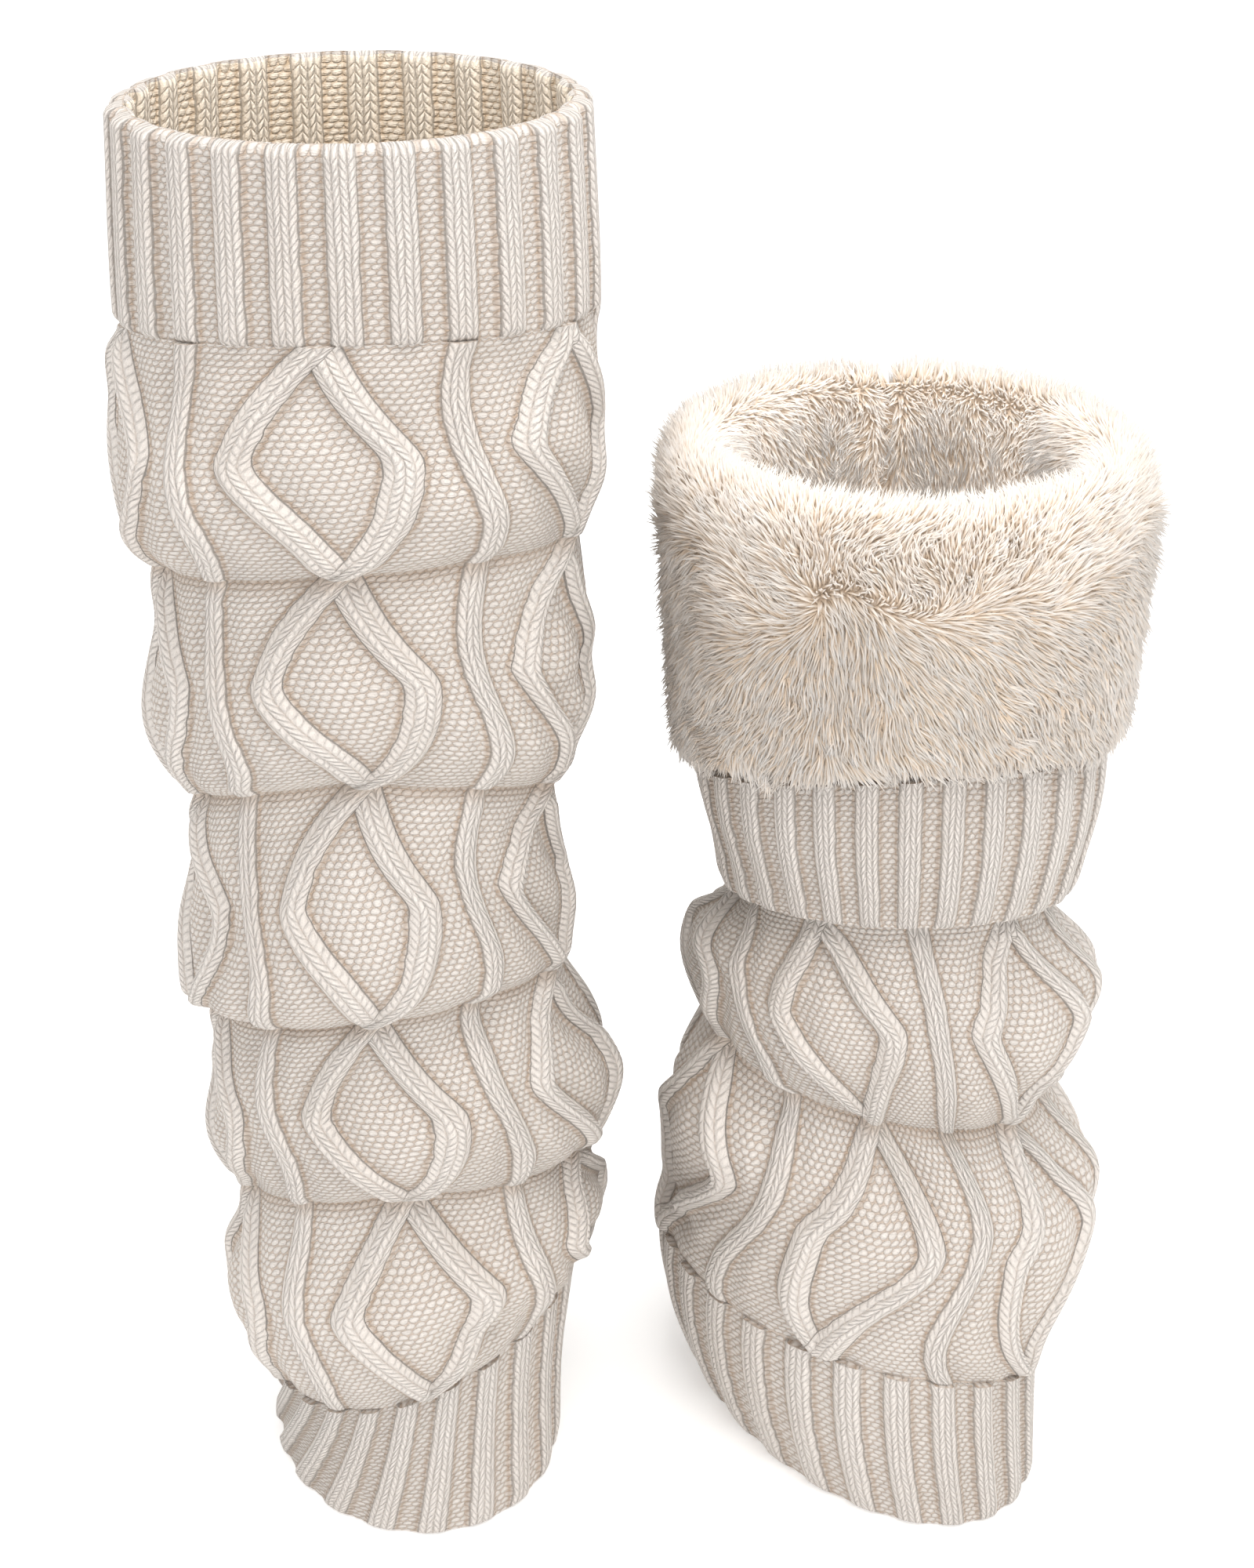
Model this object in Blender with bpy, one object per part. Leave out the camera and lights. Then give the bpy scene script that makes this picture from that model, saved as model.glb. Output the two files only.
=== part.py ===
# A pair of knitted leg warmers with a fleece lining, filled out and standing.
# The left one is pulled up, the right one has its top turned down with the fleece outside.
# Angle 0 is the front (towards -Y) and angles grow towards +X.
import bpy
import math
import numpy as np

COLLECTION = "fleece_lined_leg_warmers"

# Knit sizes in metres
SEAM_GAP = 0.0004
LEG_WALL = 0.0032
TOP_CUFF_WALL = 0.0046
HEM_CUFF_WALL = 0.0034
RIB_LIFT = 0.0023
CABLE_LIFT = 0.0030
INNER_SWELL = 0.55
FOLD_RISE = 1.9

# Rib and cable pattern in degrees round the leg: five repeats of 72
RIB_COUNT = 25
RIB_SHIFT = 7.2
REPEATS = 5
HALF_REPEAT = 36.0
RIB_HALF = 3.8
LINE_HALF = 5.2
LINE_CLOSE = 2.9
LINE_HALF_CLOSE = 2.7
LINE_WIDE = 21.0
LINE_WIDEST_AT = 0.44

# Left warmer: height, centre x, centre y, half width, half depth, turn in degrees
LEFT_RINGS = (
    (0.0250, 0.0000, 0.0000, 0.0550, 0.0550, 0.0),
    (-0.0250, -0.0004, 0.0000, 0.0570, 0.0555, 0.0),
    (-0.0600, -0.0010, 0.0000, 0.0560, 0.0550, 0.0),
    (-0.0920, -0.0005, 0.0000, 0.0518, 0.0528, 0.0),
    (-0.1250, -0.0010, 0.0010, 0.0492, 0.0512, 0.0),
    (-0.1600, -0.0020, 0.0025, 0.0464, 0.0498, 0.0),
    (-0.1900, -0.0010, 0.0035, 0.0446, 0.0490, 0.0),
    (-0.2220, -0.0010, 0.0050, 0.0470, 0.0505, 0.0),
    (-0.2500, 0.0005, 0.0065, 0.0480, 0.0520, 0.0),
    (-0.2780, 0.0025, 0.0080, 0.0482, 0.0530, 0.0),
    (-0.3120, 0.0020, 0.0090, 0.0462, 0.0530, 0.0),
    (-0.3470, 0.0018, 0.0070, 0.0414, 0.0496, 10.0),
    (-0.3800, 0.0004, 0.0048, 0.0406, 0.0490, 22.0),
)

# Left rim: height front, right, back, left, then twist, gather and gather centre in degrees
LEFT_RIM = (0.0242, 0.0246, 0.0248, 0.0244, -4.4, 0.08, 10.0)

# Left creases, one at each crossing of the cables, same columns as the rim
LEFT_CREASES = (
    (-0.0200, -0.0262, -0.0284, -0.0280, -4.4, 0.08, 10.0),
    (-0.0760, -0.0810, -0.0850, -0.0900, -1.6, 0.00, 0.0),
    (-0.1330, -0.1540, -0.1510, -0.1570, 1.4, 0.00, 0.0),
    (-0.2040, -0.2090, -0.2150, -0.2220, -0.6, 0.00, 0.0),
    (-0.2590, -0.2730, -0.2690, -0.2815, 5.0, 0.00, 0.0),
    (-0.3310, -0.3120, -0.3230, -0.3470, 8.3, -0.05, 0.0),
)
LEFT_HEM = (-0.3800, -0.3800, -0.3800, -0.3800, -4.0, -0.45, 0.0)

# Left folds: swell front, right, back, left, share of the fold at its crest, droop, sway in degrees
LEFT_FOLDS = (
    (0.0050, 0.0028, 0.0060, 0.0066, 0.64, 0.12, 3.0),
    (0.0062, 0.0052, 0.0070, 0.0092, 0.63, 0.12, 4.0),
    (0.0072, 0.0028, 0.0080, 0.0100, 0.76, 0.12, 4.0),
    (0.0075, 0.0104, 0.0080, 0.0052, 0.60, 0.12, 3.0),
    (0.0085, 0.0076, 0.0090, 0.0080, 0.45, 0.12, 2.0),
)

# Local tucks: angle in degrees, height, half width, half height, depth
LEFT_TUCKS = (
    (34.0, -0.2090, 0.012, 0.006, 0.0035),
    (38.0, -0.2450, 0.010, 0.010, 0.0030),
    (28.0, -0.3050, 0.012, 0.007, 0.0030),
    (-70.0, -0.2520, 0.016, 0.006, 0.0025),
    (75.0, -0.1200, 0.014, 0.006, 0.0025),
    (160.0, -0.1800, 0.016, 0.007, 0.0030),
    (-150.0, -0.2450, 0.015, 0.007, 0.0030),
)

# Right warmer, same columns as the left rings
RIGHT_RINGS = (
    (-0.0600, 0.1360, 0.0150, 0.0495, 0.0495, 0.0),
    (-0.0840, 0.1366, 0.0150, 0.0495, 0.0495, 0.0),
    (-0.1300, 0.1383, 0.0150, 0.0492, 0.0492, 0.0),
    (-0.1620, 0.1393, 0.0150, 0.0484, 0.0484, 0.0),
    (-0.1790, 0.1396, 0.0150, 0.0448, 0.0448, 0.0),
    (-0.1900, 0.1396, 0.0150, 0.0426, 0.0426, 0.0),
    (-0.2060, 0.1392, 0.0150, 0.0412, 0.0412, 2.0),
    (-0.2220, 0.1380, 0.0150, 0.0450, 0.0440, 5.0),
    (-0.2450, 0.1350, 0.0155, 0.0480, 0.0472, 12.0),
    (-0.2850, 0.1384, 0.0170, 0.0490, 0.0560, 27.0),
    (-0.3230, 0.1312, 0.0185, 0.0474, 0.0660, 33.0),
    (-0.3500, 0.1320, 0.0200, 0.0446, 0.0684, 33.0),
    (-0.3800, 0.1372, 0.0215, 0.0406, 0.0674, 31.0),
)
RIGHT_CREASES = (
    (-0.0840, -0.0840, -0.0840, -0.0840, -38.6, 0.20, 36.0),
    (-0.1850, -0.1970, -0.2080, -0.1970, -34.0, 0.00, 36.0),
    (-0.2450, -0.2560, -0.2450, -0.2330, -14.5, 0.33, 36.0),
    (-0.3220, -0.3400, -0.3290, -0.3230, -20.0, 0.00, 36.0),
)
RIGHT_HEM = (-0.3800, -0.3800, -0.3800, -0.3800, -21.5, -0.06, 36.0)
RIGHT_FOLDS = (
    (0.0000, 0.0000, 0.0000, 0.0000, 0.50, 0.00, 0.0),
    (0.0100, 0.0146, 0.0105, 0.0126, 0.34, 0.10, 0.0),
    (0.0060, 0.0116, 0.0080, 0.0088, 0.34, 0.10, -5.0),
)
RIGHT_TUCKS = (
    (8.0, -0.2620, 0.010, 0.018, 0.0060),
    (-38.0, -0.2440, 0.018, 0.006, 0.0030),
    (-80.0, -0.3070, 0.018, 0.005, 0.0030),
    (84.0, -0.3150, 0.022, 0.012, 0.0055),
    (62.0, -0.2750, 0.010, 0.008, 0.0030),
    (170.0, -0.2800, 0.018, 0.007, 0.0035),
)

# Turned-down rib cuff: height, centre x, centre y, half width, half depth, turn
CUFF_RINGS = (
    (-0.1300, 0.1383, 0.0150, 0.0536, 0.0536, 0.0),
    (-0.1620, 0.1393, 0.0150, 0.0530, 0.0530, 0.0),
    (-0.1790, 0.1400, 0.0150, 0.0494, 0.0494, 0.0),
    (-0.1940, 0.1398, 0.0150, 0.0470, 0.0470, 0.0),
    (-0.2100, 0.1394, 0.0150, 0.0456, 0.0456, 0.0),
)
CUFF_TOP = (-0.1364, -0.1494, -0.1584, -0.1564, -38.6, 0.20, 36.0)
CUFF_EDGE = (-0.1825, -0.1945, -0.2055, -0.1945, -38.6, 0.22, 36.0)

# Fleece: its turned-down edge front, right, back, left, then the closed section
FLEECE_EDGE = (-0.1360, -0.1490, -0.1580, -0.1560)
FLEECE_SPLIT_HALF = 4.0
FLEECE_COLUMNS = 48
# radius, height or None, rise above the edge or None, share of the back split
FLEECE_SECTION = (
    (0.0540, -0.0605, None, 0.7),
    (0.0592, -0.0625, None, 0.4),
    (0.0630, -0.0680, None, 0.2),
    (0.0650, -0.0770, None, 0.1),
    (0.0655, -0.0920, None, 0.0),
    (0.0654, -0.1060, None, 0.0),
    (0.0650, -0.1180, None, 0.0),
    (0.0640, None, 0.0120, 0.0),
    (0.0612, None, 0.0040, 0.0),
    (0.0570, None, 0.0003, 0.0),
    (0.0500, None, 0.0003, 0.0),
    (0.0499, -0.1180, None, 0.0),
    (0.0499, -0.0810, None, 0.0),
    (0.0450, -0.0800, None, 0.0),
    (0.0447, -0.1300, None, 0.0),
    (0.0434, -0.1600, None, 0.0),
    (0.0390, -0.1780, None, 0.0),
    (0.0355, -0.1800, None, 0.3),
    (0.0345, -0.1700, None, 0.7),
    (0.0360, -0.1400, None, 0.9),
    (0.0378, -0.1120, None, 1.0),
    (0.0392, -0.0900, None, 1.0),
    (0.0420, -0.0730, None, 1.0),
    (0.0478, -0.0630, None, 0.9),
)
FLEECE_SPLIT_DEPTH = 0.0045

LEG_SHARES = (0.0, 0.22, 0.44, 0.68, 0.86)
INNER_SHARES = (0.0, 0.4, 0.74)
HIDDEN_SHARES = (0.0, 0.3, 0.55, 0.75, 0.9)

KNIT_COLOUR = (0.86, 0.79, 0.70, 1.0)
FLEECE_COLOUR = (0.88, 0.81, 0.71, 1.0)


def around(values, angle):
    front, right, back, left = values[..., 0], values[..., 1], values[..., 2], values[..., 3]
    level = (front + right + back + left) / 4
    return (level + (front - back) / 2 * np.cos(angle) + (right - left) / 2 * np.sin(angle)
            + (front + back - right - left) / 4 * np.cos(2 * angle))


def ring_at(table, height):
    rows = np.array(table)[::-1]
    levels = rows[:, 0]
    values = rows[:, 1:]
    slopes = np.gradient(values, levels, axis=0)
    low = np.clip(np.searchsorted(levels, height) - 1, 0, len(levels) - 2)
    span = levels[low + 1] - levels[low]
    t = np.clip((height - levels[low]) / span, 0, 1)[..., None]
    span = span[..., None]
    return ((2 * t**3 - 3 * t**2 + 1) * values[low] + (t**3 - 2 * t**2 + t) * span * slopes[low]
            + (3 * t**2 - 2 * t**3) * values[low + 1] + (t**3 - t**2) * span * slopes[low + 1])


def oval_point(ring, angle, offset):
    turn = np.radians(ring[..., 4])
    local = angle - turn
    x = ring[..., 2] * np.sin(local)
    y = -ring[..., 3] * np.cos(local)
    nx = ring[..., 3] * np.sin(local)
    ny = -ring[..., 2] * np.cos(local)
    length = np.hypot(nx, ny)
    x = x + nx / length * offset
    y = y + ny / length * offset
    return (ring[..., 0] + x * np.cos(turn) - y * np.sin(turn),
            ring[..., 1] + x * np.sin(turn) + y * np.cos(turn))


def sleeve(rings, creases, folds, tucks, pattern, along, offset, swell_share=1.0):
    """Points of a folded tube: pattern angle in degrees, along in folds, offset outwards."""
    pattern = np.asarray(pattern, float)
    along = np.broadcast_to(np.asarray(along, float), pattern.shape)
    creases = np.array(creases)
    folds = np.array(folds)
    fold = np.clip(np.floor(along).astype(int), 0, len(folds) - 1)
    share = along - fold
    upper = creases[fold]
    lower = creases[fold + 1]
    mixed = upper + (lower - upper) * share[..., None]
    gather = np.degrees(mixed[..., 5]) * np.sin(np.radians(pattern - mixed[..., 6]))
    sway = folds[fold][..., 6] * np.sin(2 * np.pi * share)
    angle = np.radians(pattern + mixed[..., 4] - gather - sway)
    top = around(upper[..., :4], angle)
    bottom = around(lower[..., :4], angle)
    droop = folds[fold][..., 5]
    height = top + (bottom - top) * (share + droop * np.sin(np.pi * share) * share)
    crest = folds[fold][..., 4]
    rise = np.sin(np.pi / 2 * np.minimum(share / crest, 1) ** FOLD_RISE)
    fall = np.cos(np.pi / 2 * np.maximum((share - crest) / (1 - crest), 0))
    arch = np.where(share < crest, rise, fall)
    swell = np.maximum(around(folds[fold][..., :4], angle), 0) * arch
    push = offset + swell * swell_share
    for place, level, half_width, half_height, depth in tucks:
        turn = np.abs((np.degrees(angle) - place + 180) % 360 - 180)
        reach = np.radians(turn) * 0.05 / half_width
        push = push - depth * swell_share * np.exp(-reach**2 - ((height - level) / half_height) ** 2)
    ring = ring_at(rings, height)
    x, y = oval_point(ring, angle, push)
    return np.stack([x, y, height], axis=-1)


def leg_columns(share):
    """Pattern angles and lifts of one row of the leg, the cables opening and closing."""
    opening = share / LINE_WIDEST_AT if share < LINE_WIDEST_AT else (1 - share) / (1 - LINE_WIDEST_AT)
    spread = LINE_CLOSE + (LINE_WIDE - LINE_CLOSE) * opening
    half = LINE_HALF_CLOSE + (LINE_HALF - LINE_HALF_CLOSE) * min(1.0, 2.2 * opening)
    cable = CABLE_LIFT
    rib = RIB_LIFT
    profile = ((-1.0, 0.0), (-0.55, 0.85), (0.0, 1.0), (0.55, 0.85), (1.0, 0.0))
    angles = []
    lifts = []
    for repeat in range(REPEATS):
        row = [(-HALF_REPEAT, rib), (-HALF_REPEAT + 0.55 * RIB_HALF, 0.85 * rib), (-HALF_REPEAT + RIB_HALF, 0.0)]
        ground_from = -HALF_REPEAT + RIB_HALF
        ground_to = -spread - half
        row += [(ground_from + (ground_to - ground_from) * part, 0.0) for part in (1 / 3, 2 / 3)]
        row += [(-spread + half * at, cable * lift) for at, lift in profile]
        row += [(0.0, -0.0005 * opening)]
        row += [(spread + half * at, cable * lift) for at, lift in profile]
        row += [(-ground_to + (ground_to - ground_from) * part, 0.0) for part in (1 / 3, 2 / 3)]
        row += [(HALF_REPEAT - RIB_HALF, 0.0), (HALF_REPEAT - 0.55 * RIB_HALF, 0.85 * rib)]
        angles += [2 * HALF_REPEAT * repeat + item[0] for item in row]
        lifts += [item[1] for item in row]
    return np.array(angles), np.array(lifts)


def even_columns():
    count = len(leg_columns(0.0)[0])
    return np.arange(count) * 360.0 / count - HALF_REPEAT


def rib_columns():
    """Pattern angles and lifts of one row of a ribbed cuff."""
    pitch = 360.0 / RIB_COUNT
    angles = []
    lifts = []
    for rib in range(RIB_COUNT):
        centre = pitch * rib + RIB_SHIFT
        angles += [centre - 0.5 * pitch, centre - 0.2 * pitch, centre + 0.2 * pitch]
        lifts += [0.0, RIB_LIFT, RIB_LIFT]
    return np.array(angles), np.array(lifts)


def wall_mesh(outer, inner):
    """Closed tube wall from rows of outer points and rows of inner points."""
    count = len(outer[0])
    inner_count = len(inner[0])
    ratio = count // inner_count
    verts = [tuple(p) for row in outer for p in row] + [tuple(p) for row in inner for p in row]
    base = len(outer) * count
    faces = []
    for r in range(len(outer) - 1):
        for c in range(count):
            n = (c + 1) % count
            faces.append((r * count + c, (r + 1) * count + c, (r + 1) * count + n, r * count + n))
    for r in range(len(inner) - 1):
        for c in range(inner_count):
            n = (c + 1) % inner_count
            a = base + r * inner_count
            b = a + inner_count
            faces.append((a + c, a + n, b + n, b + c))
    for outer_row, inner_row, downward in ((0, 0, False), (len(outer) - 1, len(inner) - 1, True)):
        o = outer_row * count
        i = base + inner_row * inner_count
        for c in range(inner_count):
            n = (c + 1) % inner_count
            fan = [o + (ratio * c + step) % count for step in range(ratio + 1)]
            middle = fan[ratio // 2]
            ends = [(fan[k], fan[k + 1], i + c) for k in range(ratio // 2)]
            ends += [(middle, i + n, i + c)]
            ends += [(fan[k], fan[k + 1], i + n) for k in range(ratio // 2, ratio)]
            faces += [tuple(reversed(face)) for face in ends] if downward else ends
    return verts, faces


def loop_mesh(rows):
    """Closed ring whose section is the closed list of rows."""
    count = len(rows[0])
    verts = [tuple(p) for row in rows for p in row]
    faces = []
    for r in range(len(rows)):
        below = (r + 1) % len(rows)
        for c in range(count):
            n = (c + 1) % count
            faces.append((r * count + c, below * count + c, below * count + n, r * count + n))
    return verts, faces


def add_object(name, verts, faces, colour, roughness):
    mesh = bpy.data.meshes.new(name)
    mesh.from_pydata(verts, [], faces)
    mesh.update()
    mesh.shade_smooth()
    mesh.set_sharp_from_angle(angle=math.radians(50))
    obj = bpy.data.objects.new(name, mesh)
    bpy.data.collections[COLLECTION].objects.link(obj)
    material = bpy.data.materials.new(name + "_material")
    material.use_nodes = True
    shader = material.node_tree.nodes["Principled BSDF"]
    shader.inputs["Base Color"].default_value = colour
    shader.inputs["Roughness"].default_value = roughness
    mesh.materials.append(material)
    return obj


def lowered(crease, gap):
    return tuple(value - gap for value in crease[:4]) + tuple(crease[4:])


def build_leg(name, rings, creases, folds, tucks, plain_folds):
    creases = (lowered(creases[0], SEAM_GAP),) + tuple(creases[1:-1]) + (lowered(creases[-1], -SEAM_GAP),)
    rows = []
    inner = []
    for fold in range(len(folds)):
        for share in LEG_SHARES:
            angles, lifts = leg_columns(share)
            if fold < plain_folds:
                angles = even_columns()
                lifts = lifts * 0
            if fold == plain_folds and plain_folds and share == 0:
                lifts = lifts * 0
            rows.append(sleeve(rings, creases, folds, tucks, angles, fold + share, lifts))
        for share in HIDDEN_SHARES if fold < plain_folds else INNER_SHARES:
            angles = even_columns() if fold < plain_folds else leg_columns(share)[0]
            inner.append(sleeve(rings, creases, folds, tucks, angles[::2], fold + share,
                                -LEG_WALL, INNER_SWELL))
    angles, lifts = leg_columns(0.0)
    last = len(folds)
    rows.append(sleeve(rings, creases, folds, tucks, angles, last, lifts * 0.5))
    inner.append(sleeve(rings, creases, folds, tucks, angles[::2], last, -LEG_WALL, INNER_SWELL))
    verts, faces = wall_mesh(rows, inner)
    return add_object(name, verts, faces, KNIT_COLOUR, 0.9)


def build_cuff(name, rings, top, bottom, wall, outer_rows, inner_rows):
    angles, lifts = rib_columns()
    flat = ((0.0, 0.0, 0.0, 0.0, 0.5, 0.0, 0.0),)
    outer = [sleeve(rings, (top, bottom), flat, (), angles, along, offset + lifts * lift)
             for along, offset, lift in outer_rows]
    inner = [sleeve(rings, (top, bottom), flat, (), angles[::3], along, offset - wall)
             for along, offset in inner_rows]
    verts, faces = wall_mesh(outer, inner)
    return add_object(name, verts, faces, KNIT_COLOUR, 0.9)


def build_fleece():
    degrees = np.arange(FLEECE_COLUMNS) * 360.0 / FLEECE_COLUMNS
    centre = FLEECE_COLUMNS // 2
    degrees[centre - 1] = 180.0 - FLEECE_SPLIT_HALF
    degrees[centre + 1] = 180.0 + FLEECE_SPLIT_HALF
    angle = np.radians(degrees)
    split = np.zeros(FLEECE_COLUMNS)
    split[centre] = 1.0
    edge = around(np.tile(np.array(FLEECE_EDGE), (FLEECE_COLUMNS, 1)), angle)
    rows = []
    for number, (radius, height, rise, share) in enumerate(FLEECE_SECTION):
        level = edge + rise if height is None else np.full(FLEECE_COLUMNS, height)
        seen = 1.0 if number < 9 or number > 16 else 0.0
        lump = 0.0007 * seen * (np.sin(5 * angle + 60 * level) + np.sin(9 * angle - 90 * level))
        inwards = number > 16 or number == 0
        cut = FLEECE_SPLIT_DEPTH * split * share
        reach = radius + lump + (cut if inwards else -cut * 0.5)
        level = level - (cut * 0.8 if number in (0, 1, 23) else 0)
        middle = ring_at(RIGHT_RINGS, level)
        x = middle[:, 0] + reach * np.sin(angle)
        y = middle[:, 1] - reach * np.cos(angle)
        rows.append(np.stack([x, y, level], axis=-1))
    verts, faces = loop_mesh(rows)
    return add_object("right_fleece", verts, faces, FLEECE_COLOUR, 1.0)


def build():
    for obj in list(bpy.data.objects):
        bpy.data.objects.remove(obj, do_unlink=True)
    collection = bpy.data.collections.new(COLLECTION)
    bpy.context.scene.collection.children.link(collection)

    rim_outer = ((0.0, -0.0022, 0.3), (0.035, -0.0006, 0.8), (0.12, 0.0, 1.0), (0.55, 0.0, 1.0), (1.0, 0.0, 1.0))
    rim_inner = ((0.0, 0.0010), (0.06, 0.0), (0.5, 0.0), (1.0, 0.0))
    build_cuff("left_top_cuff", LEFT_RINGS, LEFT_RIM, LEFT_CREASES[0], TOP_CUFF_WALL, rim_outer, rim_inner)
    build_leg("left_leg", LEFT_RINGS, LEFT_CREASES, LEFT_FOLDS, LEFT_TUCKS, 0)
    hem_outer = ((0.0, 0.0, 0.6), (0.3, 0.0, 1.0), (0.7, 0.0, 1.0), (0.94, -0.0001, 0.9), (1.0, -0.0010, 0.5))
    hem_inner = ((0.0, 0.0), (0.5, 0.0), (0.94, 0.0), (1.0, 0.0007))
    build_cuff("left_hem_cuff", LEFT_RINGS, LEFT_CREASES[-1], LEFT_HEM, HEM_CUFF_WALL, hem_outer, hem_inner)

    build_fleece()
    edge_outer = ((0.0, 0.0, 0.8), (0.3, 0.0, 1.0), (0.7, 0.0, 1.0), (0.95, 0.0, 0.9), (1.0, -0.0008, 0.5))
    build_cuff("right_top_cuff", CUFF_RINGS, CUFF_TOP, CUFF_EDGE, LEG_WALL - 0.0003, edge_outer, hem_inner)
    build_leg("right_leg", RIGHT_RINGS, RIGHT_CREASES, RIGHT_FOLDS, RIGHT_TUCKS, 1)
    build_cuff("right_hem_cuff", RIGHT_RINGS, RIGHT_CREASES[-1], RIGHT_HEM, HEM_CUFF_WALL, hem_outer, hem_inner)


build()
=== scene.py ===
# A pair of fleece lined leg warmers in cream cable knit, filled out and standing.
# The left one is pulled up, and the right one has its top turned down with the fleece outside.
# Angle 0 is the front, towards -Y, and angles grow towards +X. Sizes are in metres.
import math
import bpy
import numpy as np
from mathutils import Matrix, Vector, noise


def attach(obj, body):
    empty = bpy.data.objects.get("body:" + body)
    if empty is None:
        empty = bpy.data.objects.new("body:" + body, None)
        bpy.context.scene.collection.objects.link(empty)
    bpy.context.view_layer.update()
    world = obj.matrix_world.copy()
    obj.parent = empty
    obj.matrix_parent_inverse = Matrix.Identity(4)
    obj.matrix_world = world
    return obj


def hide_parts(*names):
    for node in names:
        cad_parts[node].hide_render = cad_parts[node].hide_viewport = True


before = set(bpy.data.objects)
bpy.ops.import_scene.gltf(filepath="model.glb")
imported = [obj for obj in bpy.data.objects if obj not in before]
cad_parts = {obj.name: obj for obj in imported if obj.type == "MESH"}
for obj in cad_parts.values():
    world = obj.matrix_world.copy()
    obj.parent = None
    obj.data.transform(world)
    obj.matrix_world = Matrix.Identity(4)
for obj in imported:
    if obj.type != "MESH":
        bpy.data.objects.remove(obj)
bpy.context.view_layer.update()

# Left top cuff
# The leg warmer starts with this band of two-by-two rib, knitted round on 100 stitches in a
# soft cream wool blend. The edge is cast on, rounded, and shows the same ribs on its inside.
STITCHES_ROUND = 100
RIB_COUNT = 25
RIB_SHIFT = 7.2
RIB_LIFT = 0.0023
TOP_CUFF_WALL = 0.0046
TOP_CUFF_ROWS = 16
CUFF_COLUMNS = 400
SHARP_CORNER = math.radians(62)
STITCH_DEPTH = 0.0010
# The yarn colour runs from the lit colour on raised stitches and cords to the groove colour in the hollows.
# The groove colour is painted shade in the recesses of the knit.
YARN_LIT = (0.660, 0.613, 0.573, 1.0)
YARN_PAINTED_GROOVE_SHADE = (0.350, 0.228, 0.138, 1.0)
# Inside the tube the same yarn gets far brighter colours. This is painted light that lifts the shaded inside
# wall, while the inside groove colour is still painted shade in the hollows.
YARN_INSIDE_PAINTED_LIGHT = (0.950, 0.850, 0.720, 1.0)
YARN_INSIDE_GROOVE_LIGHT_AND_SHADE = (0.680, 0.480, 0.290, 1.0)

# height, centre x, centre y, half width, half depth, turn in degrees
LEFT_RINGS = (
    (0.0250, 0.0000, 0.0000, 0.0550, 0.0550, 0.0),
    (-0.0250, -0.0004, 0.0000, 0.0570, 0.0555, 0.0),
    (-0.0600, -0.0010, 0.0000, 0.0560, 0.0550, 0.0),
    (-0.0920, -0.0005, 0.0000, 0.0518, 0.0528, 0.0),
    (-0.1250, -0.0010, 0.0010, 0.0492, 0.0512, 0.0),
    (-0.1600, -0.0020, 0.0025, 0.0464, 0.0498, 0.0),
    (-0.1900, -0.0010, 0.0035, 0.0446, 0.0490, 0.0),
    (-0.2220, -0.0010, 0.0050, 0.0470, 0.0505, 0.0),
    (-0.2500, 0.0005, 0.0065, 0.0480, 0.0520, 0.0),
    (-0.2780, 0.0025, 0.0080, 0.0482, 0.0530, 0.0),
    (-0.3120, 0.0020, 0.0090, 0.0462, 0.0530, 0.0),
    (-0.3470, 0.0018, 0.0070, 0.0414, 0.0496, 10.0),
    (-0.3800, 0.0004, 0.0048, 0.0406, 0.0490, 22.0),
)
# heights front, right, back, left, then twist, gather and gather centre in degrees
LEFT_RIM = (0.0242, 0.0246, 0.0248, 0.0244, -4.4, 0.08, 10.0)
LEFT_CUFF_EDGE = (-0.0200, -0.0262, -0.0284, -0.0280, -4.4, 0.08, 10.0)
NO_FOLD = ((0.0, 0.0, 0.0, 0.0, 0.5, 0.0, 0.0),)
FOLD_RISE = 1.9


def around(values, angle):
    """One number round the leg from its values at the front, right, back and left."""
    front, right, back, left = values[..., 0], values[..., 1], values[..., 2], values[..., 3]
    level = (front + right + back + left) / 4
    return (level + (front - back) / 2 * np.cos(angle) + (right - left) / 2 * np.sin(angle)
            + (front + back - right - left) / 4 * np.cos(2 * angle))


def ring_at(table, height):
    """Centre, half sizes and turn of the tube's oval at a height, smooth between the rows."""
    rows = np.array(table)[::-1]
    levels = rows[:, 0]
    values = rows[:, 1:]
    slopes = np.gradient(values, levels, axis=0)
    low = np.clip(np.searchsorted(levels, height) - 1, 0, len(levels) - 2)
    span = levels[low + 1] - levels[low]
    t = np.clip((height - levels[low]) / span, 0, 1)[..., None]
    span = span[..., None]
    return ((2 * t**3 - 3 * t**2 + 1) * values[low] + (t**3 - 2 * t**2 + t) * span * slopes[low]
            + (3 * t**2 - 2 * t**3) * values[low + 1] + (t**3 - t**2) * span * slopes[low + 1])


def oval_point(ring, angle, offset):
    """A point on the oval, pushed outwards across its curve."""
    turn = np.radians(ring[..., 4])
    local = angle - turn
    x = ring[..., 2] * np.sin(local)
    y = -ring[..., 3] * np.cos(local)
    nx = ring[..., 3] * np.sin(local)
    ny = -ring[..., 2] * np.cos(local)
    length = np.hypot(nx, ny)
    x = x + nx / length * offset
    y = y + ny / length * offset
    return (ring[..., 0] + x * np.cos(turn) - y * np.sin(turn),
            ring[..., 1] + x * np.sin(turn) + y * np.cos(turn))


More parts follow.
